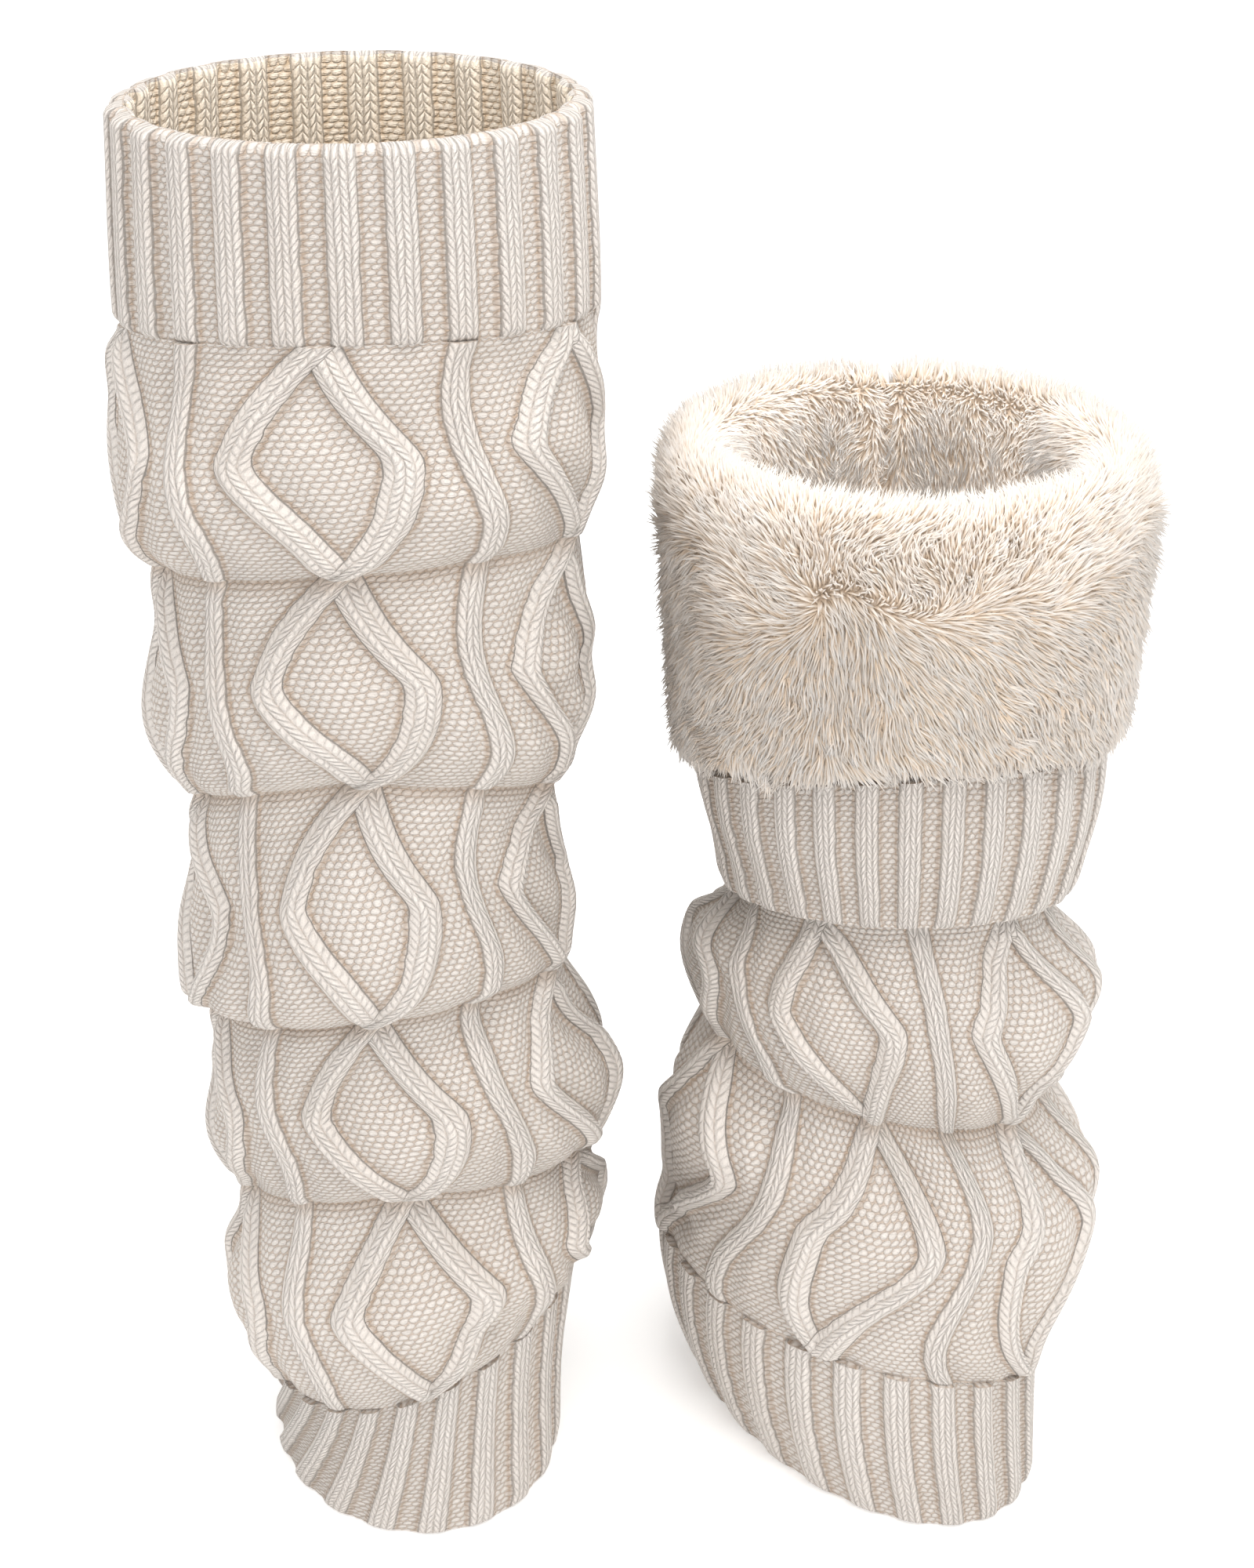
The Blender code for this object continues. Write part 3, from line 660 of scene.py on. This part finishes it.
# radius, height or None, rise above the edge or None, share of the seam's parting, pile lies on it
BACKING_SECTION = (
    (0.0502, -0.0800, None, 0.0, 0),
    (0.0452, -0.0806, None, 0.0, 0),
    (0.0447, -0.1300, None, 0.0, 0),
    (0.0434, -0.1600, None, 0.0, 0),
    (0.0400, -0.1775, None, 0.2, 0),
    (0.0386, -0.1730, None, 0.6, 1),
    (0.0400, -0.1400, None, 0.9, 1),
    (0.0416, -0.1120, None, 1.0, 1),
    (0.0430, -0.0920, None, 1.0, 1),
    (0.0454, -0.0775, None, 1.0, 1),
    (0.0496, -0.0686, None, 0.9, 1),
    (0.0543, -0.0660, None, 0.7, 1),
    (0.0582, -0.0680, None, 0.4, 1),
    (0.0604, -0.0725, None, 0.2, 1),
    (0.0614, -0.0810, None, 0.1, 1),
    (0.0617, -0.0930, None, 0.0, 1),
    (0.0616, -0.1060, None, 0.0, 1),
    (0.0612, -0.1180, None, 0.0, 1),
    (0.0605, None, 0.0130, 0.0, 1),
    (0.0590, None, 0.0066, 0.0, 1),
    (0.0566, None, 0.0030, 0.0, 1),
    (0.0532, None, 0.0012, 0.0, 0),
    (0.0502, None, 0.0012, 0.0, 0),
    (0.0500, -0.1180, None, 0.0, 0),
)


def backing_rows(angle):
    """The backing cloth's closed section round the leg: points, share of parting, pile or not."""
    edge = around(np.tile(np.array(FLEECE_EDGE), (len(angle), 1)), angle)
    split = np.exp(-((np.degrees(angle) - 180) / SPLIT_WIDTH) ** 2)
    stations = []
    for radius, height, rise, share, pile in BACKING_SECTION:
        level = edge + rise if height is None else np.full(len(angle), height)
        stations.append(np.stack([np.full(len(angle), radius), level,
                                  np.full(len(angle), share), np.full(len(angle), float(pile))], -1))
    stations = np.array(stations)
    count = len(stations)
    rows = []
    for number in range(count):
        before, here, after, beyond = (stations[(number + k) % count] for k in (-1, 0, 1, 2))
        length = np.hypot(*(after - here)[:, :2].mean(axis=0))
        visible = here[0, 3] + after[0, 3] > 0
        steps = max(1, round(length / (BACKING_STEP if visible else HIDDEN_STEP)))
        for step in range(steps):
            t = step / steps
            curve = 0.5 * (2 * here + (after - before) * t
                           + (2 * before - 5 * here + 4 * after - beyond) * t**2
                           + (3 * here - before - 3 * after + beyond) * t**3)
            rows.append(curve if visible and here[0, 3] * after[0, 3] > 0 else here + (after - here) * t)
    rows = np.array(rows)
    cut = SPLIT_DEPTH * split[None, :] * rows[..., 2]
    inwards = rows[..., 0] < OUTSIDE_FROM
    radius = rows[..., 0] + np.where(inwards, cut, -cut * 0.4)
    level = rows[..., 1] - cut * np.clip((rows[..., 1] + 0.085) / 0.02, 0, 1)
    middle = ring_at(RIGHT_RINGS, level)
    lump = 0.0006 * (np.sin(5 * angle + 60 * level) + np.sin(9 * angle - 90 * level)) * rows[..., 3]
    points = np.stack([middle[..., 0] + (radius + lump) * np.sin(angle),
                       middle[..., 1] - (radius + lump) * np.cos(angle), level], axis=-1)
    return points, rows[..., 3], rows[..., 0]


backing_angle = np.radians(np.arange(FLEECE_COLUMNS) * 360.0 / FLEECE_COLUMNS)
backing_points, backing_pile, backing_radius = backing_rows(backing_angle)
backing_levels = np.arange(len(backing_points) + 1.0)
# The section runs up inside and down outside, which is the way round that faces outwards
fleece = loop_of_rows("right_fleece_backing", backing_points, backing_levels, backing_levels, FLEECE_COLUMNS)


def pile_flow(points, normals, radius):
    """Which way the pile lies at each point, and how flat, from how it was brushed by hand."""
    flow = np.zeros_like(points)
    lay = np.zeros(len(points))
    cover = np.ones(len(points))
    for number, (point, normal, r) in enumerate(zip(points, normals, radius)):
        place = Vector(point)
        n = Vector(normal)
        from_x = point[0] - FLEECE_MIDDLE[0]
        from_y = point[1] - FLEECE_MIDDLE[1]
        round_leg = Vector((0.0, 0.0, 1.0)).cross(Vector((from_x, from_y, 0.0))).normalized()
        angle = math.degrees(math.atan2(from_x, -from_y)) % 360
        swirl = noise.noise_vector(place * SWIRLS_A_METRE)
        tuft = noise.noise_vector(place * TUFTS_A_METRE + Vector((7.0, 3.0, 5.0)))
        outside = r > OUTSIDE_FROM
        depth = (PILE_TOP - point[2]) / 0.085 + swirl.x * 0.22
        from_seam = (angle - 180) / 14
        parting = math.exp(-from_seam**2) * (1.0 if from_seam > 0 else -1.0)
        if outside:
            upright = 1.5 * max(0.0, 1 - depth * 3.0)
            hanging = 1.3 * min(1.0, max(0.0, (depth - 0.20) / 0.35))
            sideways = (0.9 * math.sin(math.pi * min(1.0, max(0.0, depth)))
                        * math.sin(math.radians(angle * 2 + 40)))
            way = Vector((0, 0, upright - hanging)) + round_leg * sideways + swirl * 1.1
            flat = 0.56 + 0.24 * min(1.0, depth * 2.4)
        else:
            way = Vector((0, 0, -1.0)) - round_leg * 0.55 * math.sin(math.radians(angle)) + swirl * 1.1
            flat = 0.62
        way = way + round_leg * parting * 0.9
        way = way - n * way.dot(n)
        flat = flat * min(1.0, 0.55 + way.length)
        way = way.normalized() + tuft * 1.05
        way = way - n * way.dot(n)
        rolled = max(0.0, n.z) ** 1.2
        flow[number] = way.normalized() if way.length > 1e-4 else (0, 0, 1)
        lay[number] = flat * (1 - 0.55 * rolled)
        if rolled > 0.2:
            cover[number] = 0.0 if abs(angle - 180) < BARE_SEAM else 1.0
    return flow, lay, cover


def keep_numbers(mesh, name, kind, values):
    attribute = mesh.attributes.new(name, kind, "POINT")
    field = "vector" if kind == "FLOAT_VECTOR" else "value"
    attribute.data.foreach_set(field, np.asarray(values, np.float32).reshape(-1))


fleece.data.update()
backing_normals = np.zeros(len(fleece.data.vertices) * 3)
fleece.data.vertices.foreach_get("normal", backing_normals)
backing_normals = backing_normals.reshape(-1, 3)
noise.seed_set(FLOW_SEED)
flow, lay, cover = pile_flow(backing_points.reshape(-1, 3), backing_normals, backing_radius.reshape(-1))
keep_numbers(fleece.data, "flow", "FLOAT_VECTOR", flow)
keep_numbers(fleece.data, "lay", "FLOAT", lay)
pile = backing_pile.reshape(-1) * cover
on_outside = (backing_radius.reshape(-1) > OUTSIDE_FROM).astype(float)
keep_numbers(fleece.data, "pile_outside", "FLOAT", pile * on_outside)
keep_numbers(fleece.data, "pile_inside", "FLOAT", pile * (1 - on_outside))


def pile_tree(name, where, seed, upward):
    """Geometry nodes that plant tapering locks of pile on the backing."""
    tree = bpy.data.node_groups.new(name, "GeometryNodeTree")
    tree.interface.new_socket("Geometry", in_out="INPUT", socket_type="NodeSocketGeometry")
    for label, start in (("Length", LOCK_LENGTH), ("Width", LOCK_WIDTH), ("Spacing", LOCK_SPACING)):
        tree.interface.new_socket(label, in_out="INPUT", socket_type="NodeSocketFloat").default_value = start
    tree.interface.new_socket("Finish", in_out="INPUT", socket_type="NodeSocketMaterial")
    tree.interface.new_socket("Geometry", in_out="OUTPUT", socket_type="NodeSocketGeometry")
    recipe = Recipe(tree)
    given = tree.nodes.new("NodeGroupInput")
    geometry, length, width, spacing, finish = (Value(recipe, given.outputs[i]) for i in range(5))

    def named(label, kind):
        return recipe.node("GeometryNodeInputNamedAttribute", {"data_type": kind}, {0: label})

    def random_between(low, high, number):
        settings = {"data_type": "FLOAT"}
        return recipe.node("FunctionNodeRandomValue", settings, {2: low, 3: high, 8: seed + number}, 1)

    def vector_math(operation, *inputs):
        return recipe.node("ShaderNodeVectorMath", {"operation": operation}, inputs)

    def scaled(vector, amount):
        return recipe.node("ShaderNodeVectorMath", {"operation": "SCALE"}, {0: vector, 3: amount})

    planted = recipe.node("GeometryNodeDistributePointsOnFaces", {"distribute_method": "POISSON"},
                          {"Mesh": geometry, "Distance Min": spacing, "Density Max": 4000000.0,
                           "Density Factor": named(where, "FLOAT"), "Seed": seed})
    normal = Value(recipe, planted.socket.node.outputs["Normal"])
    lean = (named("lay", "FLOAT") + random_between(-0.16, 0.16, 1)).math("MINIMUM", 0.95)
    stray = recipe.node("FunctionNodeRandomValue", {"data_type": "FLOAT_VECTOR"},
                        {0: (-0.17, -0.17, -0.17), 1: (0.17, 0.17, 0.17), 8: seed + 2}, 0)
    way = vector_math("ADD", scaled(normal, 1 - lean), scaled(named("flow", "FLOAT_VECTOR"), lean))
    way = vector_math("ADD", way, stray)
    turn = recipe.node("FunctionNodeAxesToRotation", {"primary_axis": "Z", "secondary_axis": "X"},
                       {0: way, 1: normal})
    cone = recipe.node("GeometryNodeMeshCone", {"fill_type": "NONE"},
                       {"Vertices": 3, "Side Segments": 1, "Radius Top": 0.0, "Radius Bottom": 1.0,
                        "Depth": 1.0})
    place = recipe.node("GeometryNodeInputPosition")
    z = recipe.node("ShaderNodeSeparateXYZ", None, (place,), 2)
    lock = recipe.node("GeometryNodeStoreNamedAttribute", {"data_type": "FLOAT", "domain": "POINT"},
                       {"Geometry": cone, "Name": "reach", "Value": z})
    tall = length * random_between(0.72, 1.12, 3)
    wide = width * random_between(0.75, 1.25, 4)
    grown = recipe.node("ShaderNodeCombineXYZ", None, (wide, wide, tall))
    locks = recipe.node("GeometryNodeInstanceOnPoints", None,
                        {"Points": planted, "Instance": lock, "Rotation": turn, "Scale": grown})
    locks = recipe.node("GeometryNodeStoreNamedAttribute", {"data_type": "FLOAT", "domain": "INSTANCE"},
                        {"Geometry": locks, "Name": "tone", "Value": random_between(0.0, 1.0, 5)})
    skin = vector_math("ADD", normal, (0.0, 0.0, upward))
    locks = recipe.node("GeometryNodeStoreNamedAttribute",
                        {"data_type": "FLOAT_VECTOR", "domain": "INSTANCE"},
                        {"Geometry": locks, "Name": "skin", "Value": skin})
    real = recipe.node("GeometryNodeRealizeInstances", None, (locks,))
    real = recipe.node("GeometryNodeSetShadeSmooth", None, (real,))
    real = recipe.node("GeometryNodeSetMaterial", None, {"Geometry": real, "Material": finish})
    out = tree.nodes.new("NodeGroupOutput")
    tree.links.new(real.socket, out.inputs[0])
    return tree


def fleece_material(name, locks, painted_glow):
    """Deep cream pile: pale tips, darkened and warmed towards the root and between tufts as painted shade,
    with a fine fibre texture on the backing.
    """
    material = bpy.data.materials.new(name)
    material.use_nodes = True
    recipe = Recipe(material.node_tree)
    shader = material.node_tree.nodes["Principled BSDF"]
    place = recipe.node("ShaderNodeTexCoord", None, (), "Object")
    cloud = recipe.fine_noise(70.0, 2.0, place)
    if locks:
        reach = recipe.node("ShaderNodeAttribute", {"attribute_name": "reach"}, (), 2)
        tone = recipe.node("ShaderNodeAttribute", {"attribute_name": "tone"}, (), 2)
        # Painted shade: each lock goes from the root colour to the body colour along its reach and gets
        # lighter towards its tip, and it is darker between tufts. Tone and cloud are random tone.
        body = recipe.blend(reach.between(0.10, 0.62), FLEECE_ROOT_PAINTED_SHADE, FLEECE_BODY)
        tufts = recipe.fine_noise(230.0, 1.0, place)
        light = (reach.between(0.25, 0.95) * (0.70 + tone * 0.30) * (0.30 + tufts.between(0.3, 0.7) * 0.85)
                 * (0.8 + cloud * 0.4)).math("MINIMUM", 1.0)
        colour = recipe.blend(light, body, FLEECE_TIP)
        skin = recipe.node("ShaderNodeAttribute", {"attribute_name": "skin"}, (), 1)
        skin = recipe.node("ShaderNodeVectorMath", {"operation": "NORMALIZE"}, (skin,))
        own = recipe.node("ShaderNodeNewGeometry", None, (), "Normal")
        bump = recipe.node("ShaderNodeMix", {"data_type": "VECTOR"}, {0: 0.65, 4: own, 5: skin}, 1)
        bump = recipe.node("ShaderNodeVectorMath", {"operation": "NORMALIZE"}, (bump,))
    else:
        # The backing seen between the locks takes the painted shade of the root and body colours.
        fibres = recipe.fine_noise(900.0, 3.0, place, 0.6)
        colour = recipe.blend(fibres.between(0.3, 0.8), FLEECE_ROOT_PAINTED_SHADE, FLEECE_BODY)
        bump = recipe.node("ShaderNodeBump", None, {"Strength": 0.8, "Distance": 0.0005, "Height": fibres})
    material.node_tree.links.new(colour.socket, shader.inputs["Base Color"])
    material.node_tree.links.new(bump.socket, shader.inputs["Normal"])
    shader.inputs["Roughness"].default_value = 0.75
    shader.inputs["Specular IOR Level"].default_value = 0.3
    # Painted light: emission in the fleece's own colour, as if light came through the pile.
    material.node_tree.links.new(colour.socket, shader.inputs["Emission Color"])
    shader.inputs["Emission Strength"].default_value = painted_glow
    shader.inputs["Sheen Weight"].default_value = 0.15
    shader.inputs["Sheen Roughness"].default_value = 0.4
    shader.inputs["Sheen Tint"].default_value = (1.0, 0.95, 0.88, 1.0)
    return material


backing_finish = fleece_material("fleece_backing", False, FLEECE_PAINTED_GLOW)
fleece.data.materials.append(backing_finish)


def grow_pile(name, where, seed, upward, painted_glow):
    """One piece of pile, planted where the backing's number named in where is above 0."""
    grown = bpy.data.objects.new(name, fleece.data.copy())
    bpy.context.scene.collection.objects.link(grown)
    modifier = grown.modifiers.new("pile", "NODES")
    modifier.node_group = pile_tree(name + "_tree", where, seed, upward)
    for item in modifier.node_group.interface.items_tree:
        if item.in_out == "INPUT" and item.name == "Finish":
            modifier[item.identifier] = fleece_material(name, True, painted_glow)
    evaluated = grown.evaluated_get(bpy.context.evaluated_depsgraph_get())
    mesh = bpy.data.meshes.new_from_object(evaluated)
    grown.modifiers.clear()
    grown.data = mesh
    mesh.name = name
    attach(grown, "root")
    return grown


# The inside pile glows more than three times as strongly as the outside, which is painted light in the
# shaded inside of the leg.
outer_locks = grow_pile("right_fleece_pile_outside", "pile_outside", 11, 0.3, 0.7 * FLEECE_PAINTED_GLOW)
inner_locks = grow_pile("right_fleece_pile_inside", "pile_inside", 23, 1.3, 3.2 * FLEECE_PAINTED_GLOW)
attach(fleece, "root")
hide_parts("right_fleece")

# Studio
# A pale floor under soft light from above, the left and the front right, and the camera of the
# photograph.
FLOOR_LEVEL = -0.3802
floor_mesh = bpy.data.meshes.new("floor")
floor_corners = [(x, y, FLOOR_LEVEL) for x, y in ((-6, -4), (6, -4), (6, 9), (-6, 9))]
floor_mesh.from_pydata(floor_corners, [], [(0, 1, 2, 3)])
floor = bpy.data.objects.new("floor", floor_mesh)
bpy.context.scene.collection.objects.link(floor)
paper = bpy.data.materials.new("pale_paper")
paper.use_nodes = True
paper_shader = paper.node_tree.nodes["Principled BSDF"]
paper_shader.inputs["Base Color"].default_value = (0.98, 0.98, 0.98, 1.0)
paper_shader.inputs["Roughness"].default_value = 0.9
paper_shader.inputs["Emission Color"].default_value = (1.0, 1.0, 1.0, 1.0)
paper_shader.inputs["Emission Strength"].default_value = 0.25
floor_mesh.materials.append(paper)

world = bpy.data.worlds.new("soft_room")
world.use_nodes = True
world.node_tree.nodes["Background"].inputs["Color"].default_value = (1.0, 0.995, 0.985, 1.0)
world.node_tree.nodes["Background"].inputs["Strength"].default_value = 0.97
bpy.context.scene.world = world


def soft_light(name, place, target, size, power, colour):
    lamp = bpy.data.lights.new(name, "AREA")
    lamp.shape = "RECTANGLE"
    lamp.size = size
    lamp.size_y = size
    lamp.energy = power
    lamp.color = colour
    holder = bpy.data.objects.new(name, lamp)
    holder.location = place
    holder.rotation_euler = (Vector(target) - Vector(place)).to_track_quat("-Z", "Y").to_euler()
    bpy.context.scene.collection.objects.link(holder)


soft_light("key_light", (0.30, -0.65, 1.00), (0.08, 0.0, -0.14), 0.7, 7.0, (1.0, 0.99, 0.97))
soft_light("top_light", (0.09, -0.06, 0.62), (0.09, 0.02, -0.30), 0.35, 2.6, (1.0, 0.985, 0.96))
soft_light("side_light", (-1.2, -0.9, 0.7), (0.06, 0.0, -0.18), 0.9, 4.0, (1.0, 0.99, 0.98))
soft_light("fill_light", (1.0, -1.1, 0.1), (0.15, 0.0, -0.22), 0.8, 4.4, (1.0, 0.985, 0.965))
bpy.context.scene.view_settings.view_transform = "Standard"

lens = bpy.data.cameras.new("photo_camera")
lens.lens = 57.6
lens.sensor_width = 36.0
lens.clip_start = 0.01
camera = bpy.data.objects.new("photo_camera", lens)
camera.location = (0.065, -0.600, 0.143)
camera.rotation_euler = (math.radians(90 - 26.565), 0.0, 0.0)
bpy.context.scene.collection.objects.link(camera)
bpy.context.scene.camera = camera
